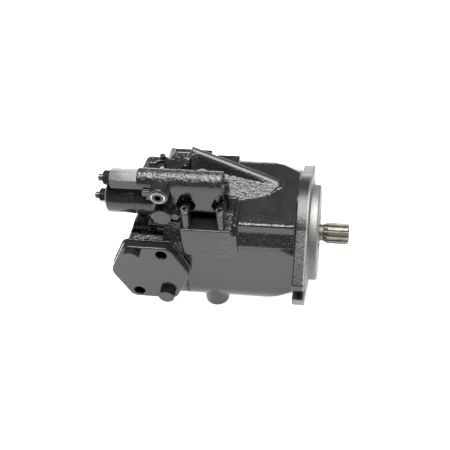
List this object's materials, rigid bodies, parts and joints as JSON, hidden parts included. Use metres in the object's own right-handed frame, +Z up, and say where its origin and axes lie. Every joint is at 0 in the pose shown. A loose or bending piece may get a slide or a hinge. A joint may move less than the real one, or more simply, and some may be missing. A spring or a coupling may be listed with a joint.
{
  "type": "axial piston pump",
  "caption": "Swashplate axial piston pump with side ports, splined shaft, two-slot mounting flange and a bolted-on pressure and flow control valve",
  "frame": {"origin": "Middle of the pilot, in the plane of the flange's mounting face", "axes": "+X runs along the shaft out of the pump, +Z is up with the control valve on top, -Y is the side with the suction port and its cover"},
  "size_m": [0.2558, 0.175, 0.1735],
  "materials": {
    "black_paint": "gloss black enamel over rough casting, with machined faces left bare",
    "black_hardware": "gloss black enamel over steel, worn at the edges",
    "shaft_steel": "ground and hobbed alloy steel, oiled",
    "bearing_steel": "hardened and ground bearing steel",
    "cage_steel": "pressed sheet steel",
    "internal_steel": "ground alloy steel",
    "spring_steel": "oil-tempered spring wire",
    "bronze": "machined bearing bronze",
    "liner": "low-friction liner on a steel back",
    "seal_rubber": "fluoroelastomer on a steel case",
    "gasket": "coated fibre gasket"
  },
  "bodies": {
    "pump_case": {"housing": "black_paint", "port_plate": "black_paint", "port_plate_gasket": "gasket", "port_plate_bolts": "black_hardware", "port_cover": "black_paint", "port_cover_bolts": "black_hardware", "front_bearing_cup": "bearing_steel", "rear_bearing_cup": "bearing_steel", "shaft_seal": "seal_rubber", "seal_retaining_ring": "spring_steel", "valve_plate": "bronze", "valve_plate_pin": "bearing_steel", "swashplate": "internal_steel", "cradle_bearing_near": "liner", "cradle_bearing_far": "liner", "stroking_sleeve": "internal_steel", "stroking_piston": "internal_steel", "stop_screw": "black_hardware", "stop_screw_nut": "black_hardware", "bias_sleeve": "internal_steel", "bias_piston": "internal_steel", "bias_spring": "spring_steel", "top_plugs": "black_hardware", "drain_plugs": "black_hardware", "control_valve_body": "black_paint", "valve_screws": "black_hardware", "pressure_spring": "spring_steel", "flow_spring": "spring_steel", "pressure_screw_seat": "internal_steel", "flow_screw_seat": "internal_steel", "pressure_bonnet": "black_hardware", "flow_bonnet": "black_hardware", "port_x_plug": "black_hardware", "cap_plug": "black_hardware", "valve_end_plug": "black_hardware"},
    "rotating_group": {"drive_shaft": "shaft_steel", "front_bearing_cone": "bearing_steel", "rear_bearing_cone": "bearing_steel", "cylinder_barrel": "internal_steel", "pistons": "internal_steel", "slippers": "bronze", "retainer_plate": "internal_steel", "retaining_ball": "internal_steel", "barrel_spring": "spring_steel"},
    "front_roller_set": {"front_bearing_rollers": "bearing_steel", "front_bearing_cage": "cage_steel"},
    "rear_roller_set": {"rear_bearing_rollers": "bearing_steel", "rear_bearing_cage": "cage_steel"},
    "pressure_spool_set": {"pressure_spool": "bearing_steel", "pressure_spool_seat": "internal_steel"},
    "flow_spool_set": {"flow_spool": "bearing_steel", "flow_spool_seat": "internal_steel"},
    "pressure_screw": {"pressure_adjusting_screw": "black_hardware"},
    "flow_screw": {"flow_adjusting_screw": "black_hardware"},
    "pressure_nut": {"pressure_lock_nut": "black_hardware"},
    "flow_nut": {"flow_lock_nut": "black_hardware"}
  },
  "joints": [
    {"name": "shaft_spin", "type": "hinge", "parent": "pump_case", "child": "rotating_group", "pos_m": [0, 0, 0], "axis": [1, 0, 0], "continuous": true},
    {"name": "front_roller_orbit", "type": "hinge", "parent": "pump_case", "child": "front_roller_set", "pos_m": [0, 0, 0], "axis": [1, 0, 0], "continuous": true},
    {"name": "rear_roller_orbit", "type": "hinge", "parent": "pump_case", "child": "rear_roller_set", "pos_m": [0, 0, 0], "axis": [1, 0, 0], "continuous": true},
    {"name": "pressure_spool_slide", "type": "slide", "parent": "pump_case", "child": "pressure_spool_set", "axis": [1, 0, 0], "range_m": [-0.0025, 0], "stiffness_N_per_m": 4000, "springref_m": 0.003, "deforming": ["pressure_spring"]},
    {"name": "flow_spool_slide", "type": "slide", "parent": "pump_case", "child": "flow_spool_set", "axis": [1, 0, 0], "range_m": [-0.0025, 0], "stiffness_N_per_m": 3000, "springref_m": 0.003, "deforming": ["flow_spring"]},
    {"name": "pressure_screw_turn", "type": "hinge", "parent": "pump_case", "child": "pressure_screw", "pos_m": [0, -0.0365, 0.101], "axis": [1, 0, 0], "range_deg": [-720, 720]},
    {"name": "flow_screw_turn", "type": "hinge", "parent": "pump_case", "child": "flow_screw", "pos_m": [0, -0.033, 0.0725], "axis": [1, 0, 0], "range_deg": [-720, 720]},
    {"name": "pressure_nut_turn", "type": "hinge", "parent": "pump_case", "child": "pressure_nut", "pos_m": [0, -0.0365, 0.101], "axis": [1, 0, 0], "range_deg": [-360, 0]},
    {"name": "flow_nut_turn", "type": "hinge", "parent": "pump_case", "child": "flow_nut", "pos_m": [0, -0.033, 0.0725], "axis": [1, 0, 0], "range_deg": [-360, 0]}
  ],
  "couplings": [
    {"joint": "front_roller_orbit", "follows": "shaft_spin", "ratio": 0.4086},
    {"joint": "rear_roller_orbit", "follows": "shaft_spin", "ratio": 0.4229}
  ]
}
